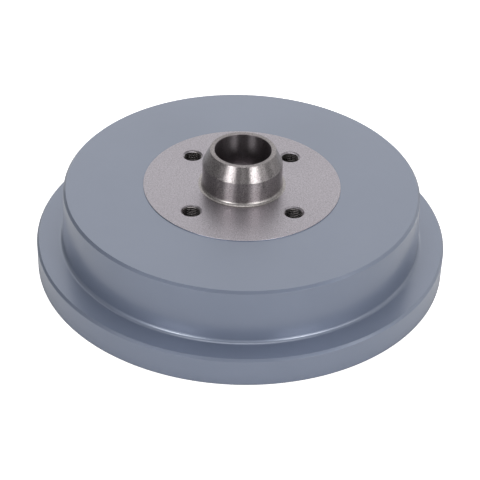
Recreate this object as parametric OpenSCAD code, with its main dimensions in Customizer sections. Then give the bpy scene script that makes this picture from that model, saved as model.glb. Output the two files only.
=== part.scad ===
// Rear brake drum with its wheel hub, cast in one piece from grey iron.
// It stands on its open rim, with the hub's nose up. The origin is at the middle of the
// resting face and +Z is the wheel's axis. All sizes are in millimetres.

/* [Rim flange] */
// Outside diameter of the rim flange
rim_d = 292.6; // [288:0.1:300]
// Height of the flange's upper face above the resting face
rim_h = 20.8; // [18:0.1:24]
// Bevel round the flange's upper outer edge
rim_bevel = 1.5; // [0.5:0.1:3]
// Rounding of the lip's two resting edges
lip_edge = 0.8; // [0.2:0.1:1.5]
// Thickness of the lip that hangs down from the flange
lip_t = 6.5; // [4:0.1:9]
// Depth of the splash groove, where the edge of the backing plate runs
groove_depth = 12; // [6:0.5:15]
// Rounding in the two corners of the splash groove
groove_fillet = 3; // [1:0.5:4]

/* [Drum wall] */
// Outside diameter of the wall under its upper bevel
wall_top_d = 252; // [248:0.1:254]
// Outside diameter of the wall just above the flange
wall_foot_d = 256; // [254:0.1:258]
// Rounding between the wall and the flange
wall_fillet = 2.6; // [1:0.1:5]
// Height of the closed face above the resting face
face_h = 60.9; // [58:0.1:66]
// Bevel round the closed face
face_bevel = 1.7; // [0.5:0.1:3]
// Thickness of the closed face
web_t = 8; // [6:0.1:10]

/* [Shoe space] */
// Diameter of the friction surface
friction_d = 230; // [227:0.1:233]
// Width of the friction surface
friction_w = 42; // [36:0.5:44]
// Depth of the relief between the friction surface and the closed face
relief_depth = 0.8; // [0.2:0.1:2]
// Rounding in the corner of the relief
relief_fillet = 3.5; // [1:0.5:4]
// Thickness of the friction ring at its open end
ring_t = 11; // [8:0.5:12]
// How far the ring's end lies above the resting face
ring_recess = 2; // [0.5:0.1:4]
// Width of the lead-in at the mouth, measured outwards
lead_w = 2.5; // [1:0.1:4]
// Height of the lead-in at the mouth
lead_h = 4; // [2:0.1:5]

/* [Wheel face] */
// Diameter of the machined face that the wheel sits on
pad_d = 139.6; // [132:0.1:150]
// How far the machined face stands above the painted one
pad_rise = 0.6; // [0.2:0.1:2]
// Diameter of the circle through the wheel bolts
bolt_circle_d = 100; // [98:0.1:104]
// Number of wheel bolts
bolt_count = 4; // [3:1:5]
// Diameter of the tapped bolt holes, before the thread is cut
tapping_d = 12.5; // [10:0.1:13]
// Diameter of the countersinks at both ends of the bolt holes
countersink_d = 14.6; // [14:0.1:16]
// Length of the tapped holes
thread_l = 14; // [12:0.5:18]
// Diameter of the lugs that carry the bolt holes inside the drum
lug_d = 28; // [22:0.5:32]

/* [Hub outside] */
// Diameter of the spigot that centres the wheel
spigot_d = 56.5; // [54:0.1:60]
// Rounding between the machined face and the spigot
root_fillet = 2.7; // [1:0.1:4]
// Height of the spigot's upper edge above the machined face
spigot_h = 17.7; // [12:0.1:20]
// Diameter of the hub's flat end
nose_d = 46.2; // [44:0.1:52]
// Height of the cone between the spigot and the flat end
cone_h = 10.5; // [6:0.1:14]
// Diameter of the boss inside the drum, at its end
boss_d = 66; // [62:0.5:72]
// Growth of the boss's radius towards the closed face
boss_draft = 1.6; // [0.5:0.1:3]
// Height of the boss's end above the resting face
boss_end_h = 30; // [26:0.5:36]
// Rounding of the boss's end
boss_edge = 1.5; // [0.5:0.1:3]
// Rounding between the boss and the closed face
boss_fillet = 6; // [2:0.5:8]

/* [Hub bores] */
// Diameter of the outer bearing's seat, which the grease cap shares
outer_seat_d = 39.84; // [38:0.01:40]
// Depth of the outer bearing's shoulder below the hub's flat end
outer_seat_depth = 24; // [18:0.5:26]
// Diameter of the throat between the bearings
throat_d = 33; // [30:0.5:36]
// Length of the throat
throat_l = 3; // [1:0.5:5]
// Diameter of the inner bearing's seat, which the shaft seal shares
inner_seat_d = 50.25; // [48:0.01:52]
// Depth of the inner bearing's shoulder above the boss's end
inner_seat_depth = 24; // [18:0.5:26]
// Height of the shoulder that the inner bearing rests against
inner_step = 3.6; // [2:0.1:5]
// Bevel at the bore's mouth in the hub's flat end
nose_bevel = 0.3; // [0.1:0.1:1]
// Bevel at the bore's mouth in the boss
boss_bevel = 0.8; // [0.3:0.1:1.5]

/* [Hidden] */

// Facets of a full turn on the casting and on the bolt holes, and steps along a rounding
turn_facets = 180;
hole_facets = 64;
arc_steps = 5;
// Overrun of every cut past the face that it opens
overrun = 1;

paint_colour = "#858c9b";
bare_iron_colour = "#a8a2a5";

// Radii and heights that follow from the sizes above
rim_r = rim_d / 2;
lip_in_r = rim_r - lip_t;
wall_top_r = wall_top_d / 2;
wall_foot_r = wall_foot_d / 2;
wall_top_h = face_h - face_bevel;
web_in_h = face_h - web_t;
friction_r = friction_d / 2;
friction_low_h = ring_recess + lead_h;
friction_high_h = friction_low_h + friction_w;
relief_r = friction_r + relief_depth;
ring_out_r = friction_r + ring_t;
pad_h = face_h + pad_rise;
pad_r = pad_d / 2;
spigot_r = spigot_d / 2;
spigot_top_h = pad_h + spigot_h;
nose_h = spigot_top_h + cone_h;
boss_r = boss_d / 2;
lug_end_h = pad_h - thread_l;
bolt_circle_r = bolt_circle_d / 2;
countersink_l = (countersink_d - tapping_d) / 2;
outer_seat_r = outer_seat_d / 2;
outer_shoulder_h = nose_h - outer_seat_depth;
throat_r = throat_d / 2;
inner_seat_r = inner_seat_d / 2;
inner_land_r = inner_seat_r - inner_step;
inner_shoulder_h = boss_end_h + inner_seat_depth;

// Unit vector along v
function along(v) = v / norm(v);

// Points of the arc that rounds one corner [x, y, radius] between its two neighbours
function rounded_corner(before, corner, after) =
    let (
        tip = [corner.x, corner.y],
        back = along([before.x, before.y] - tip),
        ahead = along([after.x, after.y] - tip),
        half_angle = acos(back * ahead) / 2,
        centre = tip + along(back + ahead) * corner.z / sin(half_angle),
        first = tip + back * corner.z / tan(half_angle) - centre,
        last = tip + ahead * corner.z / tan(half_angle) - centre,
        start = atan2(first.y, first.x),
        turn = (atan2(last.y, last.x) - start + 540) % 360 - 180
    )
    [for (step = [0:arc_steps])
        centre + corner.z * [cos(start + turn * step / arc_steps), sin(start + turn * step / arc_steps)]];

// Outline through corners [x, y, radius], with each radius above zero made an arc
function rounded_outline(corners) =
    let (count = len(corners))
    [for (i = [0:count - 1])
        let (before = corners[(i + count - 1) % count], corner = corners[i], after = corners[(i + 1) % count])
        each corner.z > 0 ? rounded_corner(before, corner, after) : [[corner.x, corner.y]]];

// Outside of the casting, from the lip's resting edge up to the hub's flat end
outside_corners = [
    [rim_r, 0, lip_edge],
    [rim_r, rim_h - rim_bevel, 0],
    [rim_r - rim_bevel, rim_h, 0],
    [wall_foot_r, rim_h, wall_fillet],
    [wall_top_r, wall_top_h, 0],
    [wall_top_r - face_bevel, face_h, 0],
    [pad_r, face_h, 0],
    [pad_r, pad_h, 0],
    [spigot_r, pad_h, root_fillet],
    [spigot_r, spigot_top_h, 0],
    [nose_d / 2, nose_h, 0],
    [0, nose_h, 0],
];

// Inside of the casting, from the boss's end down through the shoe space to the lip
inside_corners = [
    [0, boss_end_h, 0],
    [boss_r, boss_end_h, boss_edge],
    [boss_r + boss_draft, web_in_h, boss_fillet],
    [relief_r, web_in_h, relief_fillet],
    [relief_r, friction_high_h + relief_depth, 0],
    [friction_r, friction_high_h, 0],
    [friction_r, friction_low_h, 0],
    [friction_r + lead_w, ring_recess, 0],
    [ring_out_r, ring_recess, lip_edge],
    [ring_out_r, groove_depth, groove_fillet],
    [lip_in_r, groove_depth, groove_fillet],
    [lip_in_r, 0, lip_edge],
];

// The drum, its flange and the solid hub, as one turned section
module casting() {
    color(paint_colour)
        rotate_extrude($fn = turn_facets)
            polygon(rounded_outline(concat(outside_corners, inside_corners)));
}

// One lug under the closed face, with the arm that joins it to the hub's boss
module bolt_lug() {
    lug_h = web_in_h - lug_end_h + web_t / 2;
    color(paint_colour)
        translate([0, 0, lug_end_h]) {
            translate([bolt_circle_r, 0, 0])
                cylinder(d = lug_d, h = lug_h, $fn = hole_facets);
            translate([0, -lug_d / 2, 0])
                cube([bolt_circle_r, lug_d, lug_h]);
        }
}

// One tapped hole with a countersink at each end
module bolt_hole() {
    hole_r = tapping_d / 2;
    mouth_r = hole_r + countersink_l + overrun;
    translate([bolt_circle_r, 0, 0])
        rotate_extrude($fn = hole_facets)
            polygon([
                [0, lug_end_h - overrun],
                [mouth_r, lug_end_h - overrun],
                [hole_r, lug_end_h + countersink_l],
                [hole_r, pad_h - countersink_l],
                [mouth_r, pad_h + overrun],
                [0, pad_h + overrun],
            ]);
}

// The stepped bore through the hub, with the seats of both bearings
module hub_bore() {
    inner_mouth_r = inner_seat_r + boss_bevel + overrun;
    outer_mouth_r = outer_seat_r + nose_bevel + overrun;
    throat_low_h = outer_shoulder_h - throat_l;
    rotate_extrude($fn = turn_facets)
        polygon([
            [0, boss_end_h - overrun],
            [inner_mouth_r, boss_end_h - overrun],
            [inner_seat_r, boss_end_h + boss_bevel],
            [inner_seat_r, inner_shoulder_h],
            [inner_land_r, inner_shoulder_h],
            [inner_land_r, throat_low_h - (inner_land_r - throat_r)],
            [throat_r, throat_low_h],
            [throat_r, outer_shoulder_h],
            [outer_seat_r, outer_shoulder_h],
            [outer_seat_r, nose_h - nose_bevel],
            [outer_mouth_r, nose_h + overrun],
            [0, nose_h + overrun],
        ]);
}

// The whole brake drum, turned so that the camera side has two bolt holes
module brake_drum() {
    first_bolt_angle = 180 / bolt_count;
    difference() {
        union() {
            casting();
            for (i = [0:bolt_count - 1])
                rotate([0, 0, first_bolt_angle + i * 360 / bolt_count])
                    bolt_lug();
        }
        color(bare_iron_colour) {
            hub_bore();
            for (i = [0:bolt_count - 1])
                rotate([0, 0, first_bolt_angle + i * 360 / bolt_count])
                    bolt_hole();
        }
    }
}

brake_drum();
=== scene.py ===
"""Looks of a car's rear brake drum with its wheel hub, cast in one piece from grey iron.

The drum stands on its open rim on a pale studio floor. Its outside is painted grey-blue, and the
wheel face, the hub, the bearing seats and the friction surface are bare machined iron.
"""

from __future__ import annotations

import logging
import math
from dataclasses import dataclass, field
from enum import Enum

import bmesh
import bpy
from mathutils import Matrix, Vector


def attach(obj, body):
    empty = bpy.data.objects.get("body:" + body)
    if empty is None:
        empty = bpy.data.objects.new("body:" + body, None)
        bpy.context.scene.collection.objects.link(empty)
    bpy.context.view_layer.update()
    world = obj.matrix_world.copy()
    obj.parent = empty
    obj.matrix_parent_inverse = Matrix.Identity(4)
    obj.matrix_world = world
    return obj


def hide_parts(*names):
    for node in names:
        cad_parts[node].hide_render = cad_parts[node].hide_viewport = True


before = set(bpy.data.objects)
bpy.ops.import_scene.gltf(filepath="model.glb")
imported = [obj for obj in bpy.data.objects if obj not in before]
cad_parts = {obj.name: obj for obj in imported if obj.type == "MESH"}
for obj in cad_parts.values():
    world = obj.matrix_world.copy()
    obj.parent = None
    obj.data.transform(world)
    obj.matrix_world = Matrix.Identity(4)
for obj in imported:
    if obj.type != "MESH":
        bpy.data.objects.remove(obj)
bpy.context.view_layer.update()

LOG = logging.getLogger("brake_drum")
MM = 0.001
HALF_TURN = math.pi
FULL_TURN = math.tau
UP = Vector((0, 0, 1))
FULL_BUMP = 1.0
ALL_METAL = 1.0

# The sRGB curve is straight up to its limit and a power above it.
SRGB_LIMIT = 0.04045
SRGB_SLOPE = 12.92
SRGB_OFFSET = 0.055
SRGB_POWER = 2.4
BYTE_MAX = 255


class Finish(Enum):
    """The finishes that the drum's faces carry, in the order of its material slots."""

    PAINT = "grey_blue_paint"
    FACED = "faced_iron"
    TURNED = "turned_iron"
    ROOT = "rounded_iron"
    BORED = "bored_iron"
    RUBBED = "friction_iron"
    THREAD = "tapped_iron"


class Operation(Enum):
    """What a tool does to a body."""

    JOIN = "UNION"
    CUT = "DIFFERENCE"


@dataclass(frozen=True)
class Corner:
    """One corner of the turned section.

    Attributes:
        radius: distance from the wheel's axis, in mm.
        height: height above the resting face, in mm.
        rounding: radius of the arc at this corner, in mm, or 0 for a sharp one.
        steps: number of segments of that arc.
    """

    radius: float
    height: float
    rounding: float = 0.0
    steps: int = 2

    def place(self) -> Vector:
        """Return the corner's place in metres, in the plane through the axis."""
        return Vector((self.radius * MM, 0, self.height * MM))


def arc_reach(before: Corner, corner: Corner, after: Corner) -> float:
    """Return how far an arc at a corner reaches along its two sides.

    Args:
        before: the corner before it.
        corner: the corner that is rounded.
        after: the corner after it.

    Returns:
        The reach in metres.
    """
    back = before.place() - corner.place()
    ahead = after.place() - corner.place()
    return corner.rounding * MM / math.tan(back.angle(ahead) / 2)


def turned_body(corners: list[Corner], facets: int) -> bmesh.types.BMesh:
    """Turn a closed section into a solid of revolution round the wheel's axis.

    Args:
        corners: the section's corners in order, as a closed loop.
        facets: number of facets of the full turn.

    Returns:
        The closed mesh, with its normals outwards.
    """
    mesh = bmesh.new()
    points = [mesh.verts.new(corner.place()) for corner in corners]
    for point, following in zip(points, points[1:] + points[:1]):
        mesh.edges.new((point, following))
    for i, corner in enumerate(corners):
        if corner.rounding > 0:
            reach = arc_reach(corners[i - 1], corner, corners[(i + 1) % len(corners)])
            bmesh.ops.bevel(
                mesh, geom=[points[i]], affect="VERTICES", profile=0.5, material=-1,
                offset=reach, segments=corner.steps)
    bmesh.ops.spin(
        mesh, geom=mesh.verts[:] + mesh.edges[:], cent=(0, 0, 0), axis=UP, dvec=(0, 0, 0),
        angle=FULL_TURN, steps=facets, use_merge=True, use_duplicate=False)
    bmesh.ops.recalc_face_normals(mesh, faces=mesh.faces)
    return mesh


def mesh_object(name: str, mesh: bmesh.types.BMesh) -> bpy.types.Object:
    """Make an object from a bmesh and free the bmesh.

    Args:
        name: the object's name.
        mesh: the finished bmesh.

    Returns:
        The object, linked to the scene at the origin.
    """
    data = bpy.data.meshes.new(name)
    mesh.to_mesh(data)
    mesh.free()
    thing = bpy.data.objects.new(name, data)
    bpy.context.scene.collection.objects.link(thing)
    return thing


def combine(body: bpy.types.Object, tool: bpy.types.Object, operation: Operation) -> None:
    """Join a tool to a body or cut it out, and delete the tool.

    Args:
        body: the object that changes.
        tool: the closed object that is joined or cut out.
        operation: whether it is joined or cut out.
    """
    step = body.modifiers.new(tool.name, "BOOLEAN")
    step.object, step.operation, step.solver = tool, operation.value, "MANIFOLD"
    bpy.context.view_layer.update()
    evaluated = body.evaluated_get(bpy.context.evaluated_depsgraph_get())
    shaped = bpy.data.meshes.new_from_object(evaluated)
    body.modifiers.clear()
    old = body.data
    body.data = shaped
    bpy.data.meshes.remove(old)
    bpy.data.objects.remove(tool)


@dataclass(frozen=True)
class RimFlange:
    """The flange round the open end, with the lip that hangs down from it. Sizes in mm."""

    diameter: float = 292.6
    height: float = 20.8
    bevel: float = 1.5
    bevel_edge: float = 0.15
    lip_edge: float = 0.8
    lip_thickness: float = 6.5
    groove_depth: float = 12.0
    groove_fillet: float = 3.0
    lip_steps: int = 4
    groove_steps: int = 5

    def outside(self) -> list[Corner]:
        """List the corners from the resting edge up to the flange's upper face.

        Returns:
            The corners in order.
        """
        radius = self.diameter / 2
        return [
            Corner(radius, 0, self.lip_edge, self.lip_steps),
            Corner(radius, self.height - self.bevel, self.bevel_edge),
            Corner(radius - self.bevel, self.height, self.bevel_edge),
        ]

    def inside(self) -> list[Corner]:
        """List the corners of the lip's inner side, from the groove down to the floor.

        Returns:
            The corners in order.
        """
        radius = self.diameter / 2 - self.lip_thickness
        return [
            Corner(radius, self.groove_depth, self.groove_fillet, self.groove_steps),
            Corner(radius, 0, self.lip_edge, self.lip_steps),
        ]


@dataclass(frozen=True)
class DrumWall:
    """The wall round the shoes and the closed face on top of it. Sizes in mm."""

    top_diameter: float = 252.0
    foot_diameter: float = 256.0
    foot_rounding: float = 2.6
    face_height: float = 60.9
    face_bevel: float = 1.7
    bevel_edge: float = 0.15
    web_thickness: float = 8.0
    foot_steps: int = 6

    @property
    def web_height(self) -> float:
        """Height of the closed face's inner side."""
        return self.face_height - self.web_thickness

    def outside(self, flange_height: float) -> list[Corner]:
        """List the corners from the flange up to the painted face.

        Args:
            flange_height: height of the flange's upper face.

        Returns:
            The corners in order.
        """
        radius = self.top_diameter / 2
        return [
            Corner(self.foot_diameter / 2, flange_height, self.foot_rounding, self.foot_steps),
            Corner(radius, self.face_height - self.face_bevel, self.bevel_edge),
            Corner(radius - self.face_bevel, self.face_height, self.bevel_edge),
        ]


@dataclass(frozen=True)
class ShoeSpace:
    """The hollow that the brake shoes work in, with its friction surface. Sizes in mm."""

    friction_diameter: float = 230.0
    friction_width: float = 42.0
    relief_depth: float = 0.8
    relief_fillet: float = 3.5
    ring_thickness: float = 11.0
    ring_recess: float = 2.0
    lead_width: float = 2.5
    lead_height: float = 4.0
    relief_steps: int = 6

    @property
    def low(self) -> float:
        """Height at which the friction surface begins."""
        return self.ring_recess + self.lead_height

    @property
    def high(self) -> float:
        """Height at which the friction surface ends."""
        return self.low + self.friction_width

    def inside(self, web_height: float, rim: RimFlange) -> list[Corner]:
        """List the corners from the closed face down to the splash groove.

        Args:
            web_height: height of the closed face's inner side.
            rim: the flange that the groove is cut in.

        Returns:
            The corners in order.
        """
        friction = self.friction_diameter / 2
        relief = friction + self.relief_depth
        ring = friction + self.ring_thickness
        return [
            Corner(relief, web_height, self.relief_fillet, self.relief_steps),
            Corner(relief, self.high + self.relief_depth),
            Corner(friction, self.high),
            Corner(friction, self.low),
            Corner(friction + self.lead_width, self.ring_recess),
            Corner(ring, self.ring_recess, rim.lip_edge, rim.lip_steps),
            Corner(ring, rim.groove_depth, rim.groove_fillet, rim.groove_steps),
        ]


@dataclass(frozen=True)
class WheelFace:
    """The machined ring that the wheel is bolted to. Sizes in mm."""

    diameter: float = 139.6
    rise: float = 0.6
    edge: float = 0.3
    edge_steps: int = 4

    def outside(self, face_height: float) -> list[Corner]:
        """List the corners of the step up to the machined ring.

        Args:
            face_height: height of the painted face.

        Returns:
            The two corners in order.
        """
        radius = self.diameter / 2
        return [
            Corner(radius, face_height),
            Corner(radius, face_height + self.rise, self.edge, self.edge_steps),
        ]


@dataclass(frozen=True)
class Hub:
    """The wheel hub with its spigot, its bearing seats and its boss inside. Sizes in mm."""

    spigot_diameter: float = 56.5
    root_fillet: float = 2.7
    spigot_height: float = 17.7
    cone_height: float = 10.5
    nose_diameter: float = 46.2
    nose_bevel: float = 0.3
    edge: float = 0.3
    outer_seat_diameter: float = 39.84
    outer_seat_depth: float = 24.0
    throat_diameter: float = 33.0
    throat_length: float = 3.0
    inner_seat_diameter: float = 50.25
    inner_seat_depth: float = 24.0
    inner_step: float = 3.6
    boss_bevel: float = 0.8
    boss_diameter: float = 66.0
    boss_draft: float = 1.6
    boss_height: float = 30.0
    boss_edge: float = 1.5
    boss_fillet: float = 6.0
    root_steps: int = 6
    boss_edge_steps: int = 4
    boss_fillet_steps: int = 8

    def nose_height(self, pad_height: float) -> float:
        """Return the height of the hub's flat end above the resting face, in mm."""
        return pad_height + self.spigot_height + self.cone_height

    def outside(self, pad_height: float) -> list[Corner]:
        """List the corners from the wheel face up to the hub's flat end.

        Args:
            pad_height: height of the wheel face.

        Returns:
            The corners in order.
        """
        spigot = self.spigot_diameter / 2
        return [
            Corner(spigot, pad_height, self.root_fillet, self.root_steps),
            Corner(spigot, pad_height + self.spigot_height, self.edge),
            Corner(self.nose_diameter / 2, self.nose_height(pad_height), self.edge),
        ]

    def bore(self, pad_height: float) -> list[Corner]:
        """List the corners down the bore, from the nose to the boss's end.

        Args:
            pad_height: height of the wheel face.

        Returns:
            The corners in order.
        """
        top = self.nose_height(pad_height)
        outer = self.outer_seat_diameter / 2
        throat = self.throat_diameter / 2
        inner = self.inner_seat_diameter / 2
        land = inner - self.inner_step
        shoulder = top - self.outer_seat_depth
        throat_low = shoulder - self.throat_length
        inner_shoulder = self.boss_height + self.inner_seat_depth
        return [
            Corner(outer + self.nose_bevel, top),
            Corner(outer, top - self.nose_bevel),
            Corner(outer, shoulder),
            Corner(throat, shoulder, self.edge),
            Corner(throat, throat_low),
            Corner(land, throat_low - (land - throat)),
            Corner(land, inner_shoulder, self.edge),
            Corner(inner, inner_shoulder),
            Corner(inner, self.boss_height + self.boss_bevel),
            Corner(inner + self.boss_bevel, self.boss_height),
        ]

    def inside(self, web_height: float) -> list[Corner]:
        """List the corners of the boss inside the drum.

        Args:
            web_height: height of the closed face's inner side.

        Returns:
            The two corners in order.
        """
        radius = self.boss_diameter / 2
        root_radius = radius + self.boss_draft
        return [
            Corner(radius, self.boss_height, self.boss_edge, self.boss_edge_steps),
            Corner(root_radius, web_height, self.boss_fillet, self.boss_fillet_steps),
        ]


@dataclass(frozen=True)
class WheelBolts:
    """The four tapped bolt holes and the cast lugs that carry them.

    Attributes:
        circle_diameter: diameter of the circle through the bolts, in mm, as all sizes are.
        count: number of bolts.
        thread_diameter: outside diameter of the bolts' thread.
        pitch: distance between two turns of the thread.
        countersink_diameter: diameter of the bevelled mouths.
        length: length of the holes.
        lug_diameter: diameter of the lugs between their two roundings.
        lug_root: distance from the axis at which the lugs' arms end, inside the hub's boss.
        lug_edge: rounding of the lugs' flat ends.
        lug_fillet: rounding between the lugs and the closed face.
        overrun: how far every cutter reaches past the face that it opens.
        turn_facets: number of facets of a full turn of the thread.
        mouth_facets: number of facets of the bevelled mouths.
        lug_arc_steps: number of segments of the lugs' roundings.
        spare_turns: turns of the thread past each end of its cutter, before it is trimmed.
        flat_crest_share: width of the flat at the thread's crests in the hole, in pitches.
        flat_root_share: width of the flat at the thread's roots in the hole, in pitches.
        thread_depth_share: depth of the thread, in pitches.
        merge_mm: distance up to which points of the thread are one.
        trim_mm: distance up to which points lie on the plane that trims the thread.
    """

    circle_diameter: float = 100.0
    count: int = 4
    thread_diameter: float = 14.0
    pitch: float = 1.5
    countersink_diameter: float = 14.6
    length: float = 14.0
    lug_diameter: float = 28.0
    lug_root: float = 29.0
    lug_edge: float = 1.5
    lug_fillet: float = 2.5
    overrun: float = 1.0
    turn_facets: int = 48
    mouth_facets: int = 96
    lug_arc_steps: int = 4
    spare_turns: int = 2
    flat_crest_share: float = 0.25
    flat_root_share: float = 0.125
    thread_depth_share: float = 0.5413
    merge_mm: float = 0.001
    trim_mm: float = 0.0001

    @property
    def tapping_radius(self) -> float:
        """Radius of the thread's crests in the hole."""
        return self.thread_diameter / 2 - self.pitch * self.thread_depth_share

    @property
    def countersink_depth(self) -> float:
        """Depth of the bevelled mouths."""
        return self.countersink_diameter / 2 - self.tapping_radius

    def around(self, mesh: bmesh.types.BMesh) -> bmesh.types.BMesh:
        """Repeat a mesh that stands on the +X side at every bolt hole.

        Args:
            mesh: the mesh for one hole.

        Returns:
            The same bmesh, with its copies turned into place.
        """
        first = Matrix.Rotation(HALF_TURN / self.count, 3, "Z")
        bmesh.ops.rotate(mesh, verts=mesh.verts, cent=(0, 0, 0), matrix=first)
        shape = mesh.verts[:] + mesh.edges[:] + mesh.faces[:]
        for i in range(1, self.count):
            copy = bmesh.ops.duplicate(mesh, geom=shape)["geom"]
            points = [part for part in copy if isinstance(part, bmesh.types.BMVert)]
            turn = Matrix.Rotation(i * FULL_TURN / self.count, 3, "Z")
            bmesh.ops.rotate(mesh, verts=points, cent=(0, 0, 0), matrix=turn)
        bmesh.ops.recalc_face_normals(mesh, faces=mesh.faces)
        return mesh

    def threads(self, pad_height: float) -> bpy.types.Object:
        """Make the cutter that leaves a right-hand thread in every hole.

        Args:
            pad_height: height of the wheel face.

        Returns:
            One object with a threaded rod for each hole.
        """
        centre = Vector((self.circle_diameter / 2 * MM, 0, 0))
        major = self.thread_diameter / 2
        minor = self.tapping_radius
        flank = self.pitch * (1 - self.flat_crest_share - self.flat_root_share) / 2
        crest = self.pitch * self.flat_crest_share
        root = self.pitch * self.flat_root_share
        low = pad_height - self.length - self.overrun
        high = pad_height + self.overrun
        start = low - self.spare_turns * self.pitch
        # One turn of the thread's outline, over the crest, out along a flank, up the root and back.
        turn_heights = [0, crest, crest + flank, crest + flank + root, self.pitch]
        turn_radii = [minor, minor, major, major, minor]
        mesh = bmesh.new()
        points = [
            mesh.verts.new(centre + Vector((radius, 0, start + height)) * MM)
            for radius, height in zip(turn_radii, turn_heights)]
        for point, following in zip(points, points[1:]):
            mesh.edges.new((point, following))
        turns = math.ceil((high - low) / self.pitch) + 2 * self.spare_turns
        bmesh.ops.spin(
            mesh, geom=mesh.verts[:] + mesh.edges[:], cent=centre, axis=UP,
            dvec=(0, 0, self.pitch * MM / self.turn_facets), angle=turns * FULL_TURN,
            steps=turns * self.turn_facets, use_merge=False, use_duplicate=False)
        bmesh.ops.remove_doubles(mesh, verts=mesh.verts, dist=self.merge_mm * MM)
        for height, side in ((low, -1), (high, 1)):
            bmesh.ops.bisect_plane(
                mesh, geom=mesh.verts[:] + mesh.edges[:] + mesh.faces[:], dist=self.trim_mm * MM,
                plane_co=(0, 0, height * MM), plane_no=(0, 0, side), clear_outer=True)
        rims = [edge for edge in mesh.edges if edge.is_boundary]
        bmesh.ops.holes_fill(mesh, edges=rims, sides=0)
        return mesh_object("threads", self.around(mesh))

    def countersinks(self, pad_height: float) -> bpy.types.Object:
        """Make the cutter for the bevelled mouths at both ends of every hole.

        Args:
            pad_height: height of the wheel face.

        Returns:
            One object with two cones for each hole.
        """
        mesh = bmesh.new()
        wide = self.countersink_diameter / 2
        tip = wide + self.overrun
        for height, side in ((pad_height, 1), (pad_height - self.length, -1)):
            # The cone's base lies past the face, and its sides slope at 45 degrees.
            middle = height + side * (self.overrun - tip / 2)
            radii = (0, tip) if side > 0 else (tip, 0)
            place = Matrix.Translation(Vector((self.circle_diameter / 2, 0, middle)) * MM)
            bmesh.ops.create_cone(
                mesh, cap_ends=True, cap_tris=False, segments=self.mouth_facets,
                radius1=radii[0] * MM, radius2=radii[1] * MM, depth=tip * MM, matrix=place)
        return mesh_object("countersinks", self.around(mesh))

    def lugs(self, pad_height: float, web_height: float) -> bpy.types.Object:
        """Make the cast lugs under the closed face, with arms to the hub's boss.

        Args:
            pad_height: height of the wheel face.
            web_height: height of the closed face's inner side.

        Returns:
            One object with a lug for each hole.
        """
        mesh = bmesh.new()
        centre = Vector((self.circle_diameter / 2, 0, pad_height - self.length)) * MM
        half_width = (self.lug_diameter / 2 - self.lug_edge) * MM
        corner = mesh.verts.new(centre - Vector((0, half_width, 0)))
        bmesh.ops.spin(
            mesh, geom=[corner], cent=centre, axis=UP, dvec=(0, 0, 0), angle=HALF_TURN,
            steps=self.turn_facets // 2, use_merge=False, use_duplicate=False)
        mesh.verts.ensure_lookup_table()
        near, far = mesh.verts[0], mesh.verts[-1]
        low = mesh.verts.new((self.lug_root * MM, near.co.y, centre.z))
        high = mesh.verts.new((self.lug_root * MM, far.co.y, centre.z))
        for pair in ((low, near), (far, high), (high, low)):
            mesh.edges.new(pair)
        end = bmesh.ops.contextual_create(mesh, geom=mesh.edges)["faces"]
        # Each step grows from the last end face. The first face stays as the lug's flat end, and
        # the later ones are deleted once they are passed.
        face, passed = [end[0]], []
        for out, rise in self.lug_steps(web_height - (pad_height - self.length)):
            grown = bmesh.ops.extrude_face_region(mesh, geom=face)["geom"]
            bmesh.ops.delete(mesh, geom=passed, context="FACES_ONLY")
            for point in (part for part in grown if isinstance(part, bmesh.types.BMVert)):
                side = Vector((max(point.co.x - centre.x, 0), point.co.y, 0)).normalized()
                point.co += side * out * MM + UP * rise * MM
            face = passed = [part for part in grown if isinstance(part, bmesh.types.BMFace)]
        return mesh_object("lugs", self.around(mesh))

    def lug_steps(self, height: float) -> list[tuple[float, float]]:
        """List the steps up a lug's side, from its flat end into the closed face.

        Args:
            height: height of the lug below the closed face's inner side.

        Returns:
            How far each step goes outwards and upwards, in mm.
        """
        edge, fillet = self.lug_edge, self.lug_fillet
        count = self.lug_arc_steps
        turns = [HALF_TURN / 2 * i / count for i in range(count + 1)]
        places = [(edge * math.sin(turn), edge * (1 - math.cos(turn))) for turn in turns]
        foot = height - fillet
        places += [
            (edge + fillet * (1 - math.cos(turn)), foot + fillet * math.sin(turn))
            for turn in turns]
        places.append((edge + fillet, height + fillet))
        return [
            (after[0] - before[0], after[1] - before[1])
            for before, after in zip(places, places[1:])]


def linear_rgb(code: str) -> tuple[float, float, float, float]:
    """Turn an sRGB hex colour into linear light.

    Args:
        code: the colour as #rrggbb.

    Returns:
        Linear red, green and blue, with an alpha of 1.
    """
    parts = [int(code[i:i + 2], 16) / BYTE_MAX for i in (1, 3, 5)]
    red, green, blue = (
        part / SRGB_SLOPE if part <= SRGB_LIMIT
        else ((part + SRGB_OFFSET) / (1 + SRGB_OFFSET)) ** SRGB_POWER
        for part in parts)
    return red, green, blue, 1.0


def add_node(
        tree: bpy.types.NodeTree, kind: str, inputs: dict[str | int, object] | None = None,
        **settings: object) -> bpy.types.Node:
    """Add one shader node with its settings and links.

    Args:
        tree: the material's or world's node tree.
        kind: the node's type, without its common prefix.
        inputs: a value or another node's output for each input, by name or number.
        **settings: values of the node's own properties.

    Returns:
        The new node.
    """
    node = tree.nodes.new("ShaderNode" + kind)
    for name, value in settings.items():
        setattr(node, name, value)
    for name, value in (inputs or {}).items():
        if isinstance(value, bpy.types.NodeSocket):
            tree.links.new(value, node.inputs[name])
        else:
            node.inputs[name].default_value = value
    return node


def fresh_material(name: str) -> tuple[bpy.types.Material, bpy.types.NodeTree]:
    """Make an empty node material.

    Args:
        name: the material's name.

    Returns:
        The material and its node tree, with no nodes in it.
    """
    material = bpy.data.materials.new(name)
    material.use_nodes = True
    material.node_tree.nodes.clear()
    return material, material.node_tree


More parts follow.
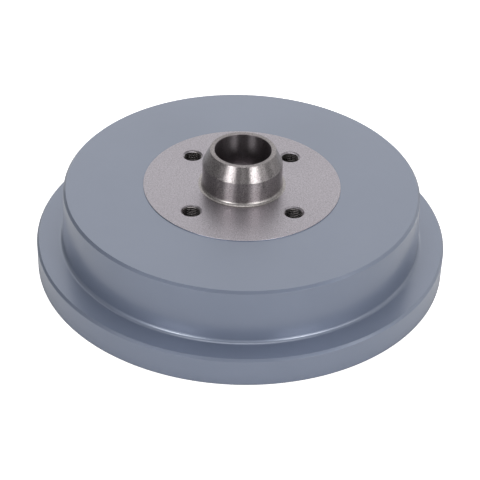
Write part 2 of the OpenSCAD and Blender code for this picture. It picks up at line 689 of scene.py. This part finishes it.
@dataclass(frozen=True)
class GreyBluePaint:
    """Grey-blue stoving enamel with fine aluminium flakes, sprayed on the cast outside.

    It is a coat a few hundredths of a millimetre thick. The flakes give it a broad tinted sheen,
    and the resin over them gives it a sharper white one, with a slight orange peel and a faint
    cloudiness.

    Attributes:
        colour: colour of the darker clouds.
        pale_colour: colour of the paler clouds.
        flake_share: share of the paint that shines as metal.
        roughness_low: roughness of the darker clouds.
        roughness_high: roughness of the paler clouds.
        enamel_ior: refractive index of the enamel between the flakes.
        resin_weight: how far the clear resin covers the enamel.
        resin_roughness: roughness of the resin.
        resin_ior: refractive index of the resin, matched to its strong sheen.
        cloud_mm: size of the clouds.
        cloud_detail: number of finer octaves in the clouds.
        cloud_gain: strength of each finer octave of the clouds.
        peel_mm: size of the orange peel's bumps.
        peel_detail: number of finer octaves in the orange peel.
        peel_gain: strength of each finer octave of the orange peel.
        peel_height_mm: height of the orange peel's bumps.
    """

    colour: str = "#7d879c"
    pale_colour: str = "#848ea3"
    flake_share: float = 0.5
    roughness_low: float = 0.38
    roughness_high: float = 0.44
    enamel_ior: float = 1.5
    resin_weight: float = 1.0
    resin_roughness: float = 0.22
    resin_ior: float = 1.75
    cloud_mm: float = 45.0
    cloud_detail: float = 3.0
    cloud_gain: float = 0.6
    peel_mm: float = 1.6
    peel_detail: float = 2.0
    peel_gain: float = 0.5
    peel_height_mm: float = 0.003

    def material(self, name: str) -> bpy.types.Material:
        """Make the paint as a node material.

        Args:
            name: the material's name.

        Returns:
            The material.
        """
        material, tree = fresh_material(name)
        place = add_node(tree, "TexCoord").outputs["Object"]
        cloud = add_node(tree, "TexNoise", {
            "Vector": place, "Scale": 1 / (self.cloud_mm * MM), "Detail": self.cloud_detail,
            "Roughness": self.cloud_gain})
        peel = add_node(tree, "TexNoise", {
            "Vector": place, "Scale": 1 / (self.peel_mm * MM), "Detail": self.peel_detail,
            "Roughness": self.peel_gain})
        colour = add_node(tree, "Mix", {
            "Factor": cloud.outputs["Fac"], "A": linear_rgb(self.colour),
            "B": linear_rgb(self.pale_colour)}, data_type="RGBA")
        roughness = add_node(tree, "MapRange", {
            "Value": cloud.outputs["Fac"], "To Min": self.roughness_low,
            "To Max": self.roughness_high})
        bump = add_node(tree, "Bump", {
            "Height": peel.outputs["Fac"], "Distance": self.peel_height_mm * MM,
            "Strength": FULL_BUMP})
        shader = add_node(tree, "BsdfPrincipled", {
            "Base Color": colour.outputs["Result"], "Roughness": roughness.outputs["Result"],
            "Metallic": self.flake_share, "Normal": bump.outputs["Normal"],
            "IOR": self.enamel_ior, "Coat Weight": self.resin_weight,
            "Coat Roughness": self.resin_roughness, "Coat IOR": self.resin_ior,
            "Coat Normal": bump.outputs["Normal"]})
        add_node(tree, "OutputMaterial", {"Surface": shader.outputs["BSDF"]})
        return material


@dataclass(frozen=True)
class BareIron:
    """Bare grey iron, machined in a lathe and left clean.

    Its marks run round the wheel's axis, so highlights stretch across them: along the radius on
    a faced surface and along the axis on a turned or bored one. Real tool marks and graphite
    specks are too fine to show, so both are drawn a few times coarser.

    Attributes:
        colour: mean colour of the metal.
        dark_colour: colour of the graphite specks and pores.
        roughness: mean roughness.
        roughness_spread: how far the tool marks change the roughness, as a share of it.
        stretch: how far the marks stretch the highlights, from 0 to 1.
        mark_mm: distance between two tool marks that show.
        mark_detail: number of finer octaves in the tool marks.
        mark_gain: strength of each finer octave of the tool marks.
        mark_range: pattern values at which the roughness is lowest and highest.
        mark_height_mm: depth of the tool marks.
        grain_mm: size of the specks.
        grain_detail: number of finer octaves in the specks.
        grain_gain: strength of each finer octave of the specks.
        grain_range: pattern values at which the metal is darkest and clean.
        grain_height_mm: depth of the specks.
    """

    colour: str = "#b7b2b6"
    dark_colour: str = "#9b9699"
    roughness: float = 0.36
    roughness_spread: float = 0.07
    stretch: float = 0.8
    mark_mm: float = 0.4
    mark_detail: float = 3.0
    mark_gain: float = 0.7
    mark_range: tuple[float, float] = (0.3, 0.7)
    mark_height_mm: float = 0.0003
    grain_mm: float = 0.8
    grain_detail: float = 4.0
    grain_gain: float = 0.7
    grain_range: tuple[float, float] = (0.35, 0.6)
    grain_height_mm: float = 0.01

    def material(self, name: str) -> bpy.types.Material:
        """Make the metal as a node material.

        Args:
            name: the material's name.

        Returns:
            The material.
        """
        material, tree = fresh_material(name)
        place = add_node(tree, "TexCoord").outputs["Object"]
        split = add_node(tree, "SeparateXYZ", {"Vector": place})
        flat = add_node(tree, "CombineXYZ", {"X": split.outputs["X"], "Y": split.outputs["Y"]})
        radius = add_node(tree, "VectorMath", {0: flat.outputs["Vector"]}, operation="LENGTH")
        section = add_node(tree, "CombineXYZ", {
            "X": radius.outputs["Value"], "Z": split.outputs["Z"]})
        marks = add_node(tree, "TexNoise", {
            "Vector": section.outputs["Vector"], "Scale": 1 / (self.mark_mm * MM),
            "Detail": self.mark_detail, "Roughness": self.mark_gain})
        grain = add_node(tree, "TexNoise", {
            "Vector": place, "Scale": 1 / (self.grain_mm * MM), "Detail": self.grain_detail,
            "Roughness": self.grain_gain})
        speck = add_node(tree, "MapRange", {
            "Value": grain.outputs["Fac"], "From Min": self.grain_range[0],
            "From Max": self.grain_range[1]})
        colour = add_node(tree, "Mix", {
            "Factor": speck.outputs["Result"], "A": linear_rgb(self.dark_colour),
            "B": linear_rgb(self.colour)}, data_type="RGBA")
        roughness = add_node(tree, "MapRange", {
            "Value": marks.outputs["Fac"], "From Min": self.mark_range[0],
            "From Max": self.mark_range[1], "To Min": self.roughness * (1 - self.roughness_spread),
            "To Max": self.roughness * (1 + self.roughness_spread)})
        pitted = add_node(tree, "Bump", {
            "Height": grain.outputs["Fac"], "Distance": self.grain_height_mm * MM,
            "Strength": FULL_BUMP})
        bump = add_node(tree, "Bump", {
            "Height": marks.outputs["Fac"], "Distance": self.mark_height_mm * MM,
            "Strength": FULL_BUMP, "Normal": pitted.outputs["Normal"]})
        # The tangent lies in the surface, square to the tool marks, which run round the axis.
        around = add_node(
            tree, "VectorMath", {0: flat.outputs["Vector"], 1: UP}, operation="CROSS_PRODUCT")
        facing = add_node(tree, "NewGeometry").outputs["Normal"]
        across = add_node(
            tree, "VectorMath", {0: around.outputs["Vector"], 1: facing}, operation="CROSS_PRODUCT")
        tangent = add_node(tree, "VectorMath", {0: across.outputs["Vector"]}, operation="NORMALIZE")
        shader = add_node(tree, "BsdfPrincipled", {
            "Base Color": colour.outputs["Result"], "Metallic": ALL_METAL,
            "Roughness": roughness.outputs["Result"], "Anisotropic": self.stretch,
            "Normal": bump.outputs["Normal"], "Tangent": tangent.outputs["Vector"]})
        add_node(tree, "OutputMaterial", {"Surface": shader.outputs["BSDF"]})
        return material


COATS: dict[Finish, GreyBluePaint | BareIron] = {
    # Stoving enamel on the sand-cast skin: an even, tinted sheen with soft white highlights.
    Finish.PAINT: GreyBluePaint(),
    # Grey iron faced with a fine feed: pale, flat and satin, with little stretch in its shine.
    Finish.FACED: BareIron(
        colour="#c5c0c7", dark_colour="#969196", stretch=0.4, grain_height_mm=0.006),
    # Grey iron turned with a pointed tool: darker, speckled, with long streaks up the hub.
    Finish.TURNED: BareIron(
        colour="#b0aaaa", dark_colour="#6f6b6c", roughness=0.32, stretch=0.83,
        grain_height_mm=0.018),
    # Grey iron cut by a tool's round nose: a bright line at the hub's root, without streaks.
    Finish.ROOT: BareIron(colour="#beb9b7", dark_colour="#837e7d", roughness=0.3, stretch=0.0),
    # Grey iron bored for the bearings: smooth, with tall narrow streaks down the bore.
    Finish.BORED: BareIron(colour="#a39ca0", dark_colour="#898286", roughness=0.32, stretch=0.9),
    # Grey iron turned for the shoes: a plain satin with streaks along the axis.
    Finish.RUBBED: BareIron(),
    # Grey iron tapped with oil, with smooth flanks, darkened as painted shade inside the holes.
    Finish.THREAD: BareIron(
        colour="#9c9797", dark_colour="#757070", roughness=0.24, stretch=0.0, mark_height_mm=0.0),
}


@dataclass
class BrakeDrum:
    """The whole casting: one closed body with its finishes.

    Attributes:
        rim: the flange round the open end.
        wall: the wall and the closed face.
        shoes: the hollow for the brake shoes.
        pad: the machined ring for the wheel.
        hub: the wheel hub.
        bolts: the bolt holes and their lugs.
        facets: number of facets of a full turn.
        sharp_deg: angle past which two faces meet at a sharp edge.
        near_mm: how far past a size a face may lie and still belong to it.
    """

    rim: RimFlange = field(default_factory=RimFlange)
    wall: DrumWall = field(default_factory=DrumWall)
    shoes: ShoeSpace = field(default_factory=ShoeSpace)
    pad: WheelFace = field(default_factory=WheelFace)
    hub: Hub = field(default_factory=Hub)
    bolts: WheelBolts = field(default_factory=WheelBolts)
    facets: int = 360
    sharp_deg: float = 30.0
    near_mm: float = 0.05

    @property
    def pad_height(self) -> float:
        """Height of the wheel face."""
        return self.wall.face_height + self.pad.rise

    def section(self) -> list[Corner]:
        """Return the closed section, outwards from the lip's foot and back through the hub."""
        return (
            self.rim.outside()
            + self.wall.outside(self.rim.height)
            + self.pad.outside(self.wall.face_height)
            + self.hub.outside(self.pad_height)
            + self.hub.bore(self.pad_height)
            + self.hub.inside(self.wall.web_height)
            + self.shoes.inside(self.wall.web_height, self.rim)
            + self.rim.inside())

    def finish_at(self, place: Vector) -> Finish:
        """Say which finish a face carries.

        Args:
            place: the middle of the face, in metres.

        Returns:
            The finish at that place.
        """
        radius = math.hypot(place.x, place.y) / MM
        height = place.z / MM
        near = self.near_mm
        # The four bolts stand on the diagonals, as far from the axis along X as along Y.
        offset = self.bolts.circle_diameter / 2 / math.sqrt(2)
        from_bolt = math.hypot(abs(place.x) / MM - offset, abs(place.y) / MM - offset)
        lug_end = self.pad_height - self.bolts.length
        if from_bolt < self.bolts.countersink_diameter / 2 - near and lug_end + near < height:
            in_mouth = height > self.pad_height - self.bolts.countersink_depth
            return Finish.FACED if in_mouth else Finish.THREAD
        # Above the painted face lie the painted step, the wheel face and the hub.
        if height > self.wall.face_height + near:
            if radius > self.pad.diameter / 2 - near:
                return Finish.PAINT
            if radius > self.hub.spigot_diameter / 2 + self.hub.root_fillet:
                return Finish.FACED
            if radius > self.hub.spigot_diameter / 2 + near:
                return Finish.ROOT
            inside = radius < self.hub.outer_seat_diameter / 2 + self.hub.nose_bevel
            return Finish.BORED if inside else Finish.TURNED
        # Below it only the bore, the boss's end and the friction ring are bare.
        if radius < self.hub.inner_seat_diameter / 2 + self.hub.boss_bevel:
            return Finish.BORED
        if radius < self.hub.boss_diameter / 2 and height < self.hub.boss_height + near:
            return Finish.BORED
        ring = self.shoes.friction_diameter / 2 + self.shoes.ring_thickness
        if self.shoes.friction_diameter / 2 - near < radius < ring - self.rim.lip_edge:
            if height < self.shoes.high + self.shoes.relief_depth:
                return Finish.RUBBED
        return Finish.PAINT

    def build(self) -> bpy.types.Object:
        """Build the closed body with its lugs, threads and countersinks.

        Returns:
            The finished object at the origin, without its materials.
        """
        body = mesh_object("drum_casting", turned_body(self.section(), self.facets))
        combine(body, self.bolts.lugs(self.pad_height, self.wall.web_height), Operation.JOIN)
        combine(body, self.bolts.threads(self.pad_height), Operation.CUT)
        combine(body, self.bolts.countersinks(self.pad_height), Operation.CUT)
        body.data.shade_smooth()
        body.data.set_sharp_from_angle(angle=math.radians(self.sharp_deg))
        even = body.modifiers.new("even_normals", "WEIGHTED_NORMAL")
        even.keep_sharp = True
        return body

    def dress(self, body: bpy.types.Object) -> None:
        """Give each face its finish.

        Args:
            body: the finished object.
        """
        finishes = list(Finish)
        body.data.materials.clear()
        for finish in finishes:
            body.data.materials.append(COATS[finish].material(finish.value))
        for face in body.data.polygons:
            face.material_index = finishes.index(self.finish_at(face.center))

    def make(self) -> bpy.types.Object:
        """Build and dress the drum and tie it to the frame.

        Returns:
            The finished piece.
        """
        body = self.build()
        self.dress(body)
        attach(body, "root")
        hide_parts("brake_drum")
        return body


def direction(azimuth_deg: float, elevation_deg: float) -> Vector:
    """Return the unit vector from the drum towards a lamp or the camera.

    Args:
        azimuth_deg: the turn from the -Y side towards +X.
        elevation_deg: the height above the floor.

    Returns:
        The unit vector.
    """
    azimuth, elevation = math.radians(azimuth_deg), math.radians(elevation_deg)
    return Vector((
        math.sin(azimuth) * math.cos(elevation), -math.cos(azimuth) * math.cos(elevation),
        math.sin(elevation)))


def turned_axes(first: Vector, second: Vector, angle_deg: float) -> tuple[Vector, Vector]:
    """Turn two square axes in their own plane.

    Args:
        first: the axis that turns towards the second.
        second: the axis square to it.
        angle_deg: the turn in degrees.

    Returns:
        Both axes after the turn.
    """
    cosine, sine = math.cos(math.radians(angle_deg)), math.sin(math.radians(angle_deg))
    return cosine * first + sine * second, cosine * second - sine * first


@dataclass(frozen=True)
class Softbox:
    """One rectangular studio lamp that points at the drum.

    Attributes:
        name: the lamp's name.
        azimuth_deg: where it stands, from the camera's side towards the right.
        elevation_deg: how high it stands.
        distance: distance from the drum, in metres.
        width: width in metres.
        height: height in metres.
        power: radiant power in watts.
    """

    name: str
    azimuth_deg: float
    elevation_deg: float
    distance: float
    width: float
    height: float
    power: float

    def make(self, target: Vector) -> None:
        """Add the lamp to the scene.

        Args:
            target: the place that the lamp points at.
        """
        way = direction(self.azimuth_deg, self.elevation_deg)
        lamp = bpy.data.lights.new(self.name, "AREA")
        lamp.shape, lamp.size, lamp.size_y = "RECTANGLE", self.width, self.height
        lamp.energy = self.power
        holder = bpy.data.objects.new(self.name, lamp)
        holder.location = target + way * self.distance
        holder.rotation_mode = "QUATERNION"
        holder.rotation_quaternion = way.to_track_quat("Z", "Y")
        bpy.context.scene.collection.objects.link(holder)


@dataclass(frozen=True)
class Studio:
    """The pale floor, the lamps and the surrounding light.

    Attributes:
        floor_size: side of the floor, in metres.
        floor_colour: colour of the floor.
        surround_colour: colour of the surrounding light.
        surround: how much of the surrounding light falls on the drum, where 1 is white.
        mirrored: how much of it shows in the paint and the iron, where 1 is white.
        aim_height: height of the point that the lamps point at, in metres.
        lamps: the lamps.
    """

    floor_size: float = 12.0
    floor_colour: str = "#f4f4f4"
    surround_colour: str = "#ffffff"
    surround: float = 0.03
    mirrored: float = 0.2
    aim_height: float = 0.05
    lamps: tuple[Softbox, ...] = (
        Softbox("left_outer_softbox", -42, 18, 1.8, 0.45, 0.35, 5.2),
        Softbox("left_inner_softbox", -30, 18, 1.8, 0.45, 0.35, 4.5),
        Softbox("right_outer_softbox", 42, 18, 1.8, 0.45, 0.35, 4.1),
        Softbox("right_inner_softbox", 30, 18, 1.8, 0.45, 0.35, 5.9),
        Softbox("front_softbox", 0, 25, 1.8, 0.4, 0.8, 0.5),
        Softbox("left_flank_softbox", -62, 24, 2.0, 0.6, 0.9, 0.7),
        Softbox("right_flank_softbox", 62, 24, 2.0, 0.6, 0.9, 2.0),
        Softbox("right_side_panel", 85, 28, 2.0, 1.4, 1.2, 2.0),
        Softbox("right_low_panel", 118, 10, 2.4, 2.4, 0.8, 3.0),
        Softbox("backdrop", 180, 21, 2.4, 4.0, 2.0, 19.0),
        Softbox("high_backdrop", 180, 58, 2.2, 3.0, 1.2, 3.8),
        Softbox("top_softbox", 180, 89, 2.0, 1.6, 1.6, 14.0),
    )

    def floor(self) -> None:
        """Add the floor, a matt pale sheet that the camera sees as plain white.

        Under the drum it has only the light that falls there, and it can't be seen from below.
        """
        rim_radius = RimFlange().diameter / 2 * MM
        mesh = bmesh.new()
        bmesh.ops.create_grid(mesh, x_segments=1, y_segments=1, size=self.floor_size / 2)
        sheet = mesh_object("floor", mesh)
        material, tree = fresh_material("pale_floor")
        ray = add_node(tree, "LightPath")
        place = add_node(tree, "TexCoord").outputs["Object"]
        from_axis = add_node(tree, "VectorMath", {0: place}, operation="LENGTH")
        outside = add_node(tree, "Math", {
            0: from_axis.outputs["Value"], 1: rim_radius}, operation="GREATER_THAN")
        strength = add_node(tree, "Math", {
            0: ray.outputs["Is Camera Ray"], 1: outside.outputs["Value"]}, operation="MULTIPLY")
        matt = add_node(tree, "BsdfDiffuse", {"Color": linear_rgb(self.floor_colour)})
        light = add_node(tree, "Emission", {"Strength": strength.outputs["Value"]})
        both = add_node(tree, "AddShader", {0: matt.outputs["BSDF"], 1: light.outputs["Emission"]})
        side = add_node(tree, "NewGeometry").outputs["Backfacing"]
        clear = add_node(tree, "BsdfTransparent")
        sheet_shader = add_node(tree, "MixShader", {
            0: side, 1: both.outputs["Shader"], 2: clear.outputs["BSDF"]})
        add_node(tree, "OutputMaterial", {"Surface": sheet_shader.outputs["Shader"]})
        sheet.data.materials.append(material)

    def surroundings(self) -> None:
        """Light the scene from all round.

        The camera sees it as white, also through glass, and the paint and the iron mirror it as
        pale grey.
        """
        world = bpy.data.worlds.new("studio")
        world.use_nodes = True
        tree = world.node_tree
        tree.nodes.clear()
        ray = add_node(tree, "LightPath")
        mirrored = add_node(tree, "Math", {
            0: ray.outputs["Is Glossy Ray"], 1: self.mirrored - self.surround, 2: self.surround},
            operation="MULTIPLY_ADD")
        seen = add_node(tree, "Math", {
            0: ray.outputs["Is Camera Ray"], 1: ray.outputs["Is Transmission Ray"]},
            operation="MAXIMUM")
        strength = add_node(tree, "Math", {
            0: seen.outputs["Value"], 1: mirrored.outputs["Value"]}, operation="MAXIMUM")
        light = add_node(tree, "Background", {
            "Color": linear_rgb(self.surround_colour), "Strength": strength.outputs["Value"]})
        add_node(tree, "OutputWorld", {"Surface": light.outputs["Background"]})
        # Rays find it by themselves, since its strength depends on the kind of ray.
        world.cycles.sampling_method = "NONE"
        bpy.context.scene.world = world

    def make(self) -> None:
        """Add the floor, the surroundings and every lamp."""
        self.floor()
        self.surroundings()
        for lamp in self.lamps:
            lamp.make(Vector((0, 0, self.aim_height)))


@dataclass(frozen=True)
class PhotoCamera:
    """The camera that took the photo, as fitted to the drum's circles.

    Attributes:
        lens_mm: focal length.
        sensor_mm: width of the sensor.
        nearest: distance from which the camera sees things, in metres.
        farthest: distance up to which it sees them, in metres.
        distance: distance from the aimed point, in metres.
        aim_height: height of the aimed point on the wheel's axis, in metres.
        azimuth_deg: where it stands, from the -Y side towards +X.
        elevation_deg: how far it looks down.
        pan_deg: turn to the right, away from the aimed point.
        tilt_deg: turn upwards, away from the aimed point.
        roll_deg: turn about the view's own axis.
    """

    lens_mm: float = 116.72
    sensor_mm: float = 36.0
    nearest: float = 0.05
    farthest: float = 50.0
    distance: float = 1.103
    aim_height: float = 0.06
    azimuth_deg: float = -1.67
    elevation_deg: float = 33.64
    pan_deg: float = -0.01
    tilt_deg: float = -2.03
    roll_deg: float = 1.79

    def make(self) -> None:
        """Add the camera and make it the scene's own."""
        azimuth = math.radians(self.azimuth_deg)
        ahead = -direction(self.azimuth_deg, self.elevation_deg)
        right = Vector((math.cos(azimuth), math.sin(azimuth), 0))
        above = right.cross(ahead)
        place = Vector((0, 0, self.aim_height)) - ahead * self.distance
        ahead, right = turned_axes(ahead, right, self.pan_deg)
        ahead, above = turned_axes(ahead, above, self.tilt_deg)
        right, above = turned_axes(right, above, self.roll_deg)
        camera = bpy.data.cameras.new("photo_camera")
        camera.sensor_width, camera.lens = self.sensor_mm, self.lens_mm
        camera.clip_start, camera.clip_end = self.nearest, self.farthest
        holder = bpy.data.objects.new("photo_camera", camera)
        turn = Matrix((right, above, -ahead)).transposed().to_4x4()
        holder.matrix_world = Matrix.Translation(place) @ turn
        bpy.context.scene.collection.objects.link(holder)
        bpy.context.scene.camera = holder


def main() -> None:
    """Build the drum, the studio and the camera in order."""
    logging.basicConfig(level=logging.INFO, format="%(name)s: %(message)s")
    PhotoCamera().make()
    LOG.info("camera placed")
    Studio().make()
    LOG.info("studio lit")
    body = BrakeDrum().make()
    LOG.info("drum casting made with %d faces", len(body.data.polygons))
    bpy.context.scene.view_settings.view_transform = "Standard"


if __name__ == "__main__":
    main()
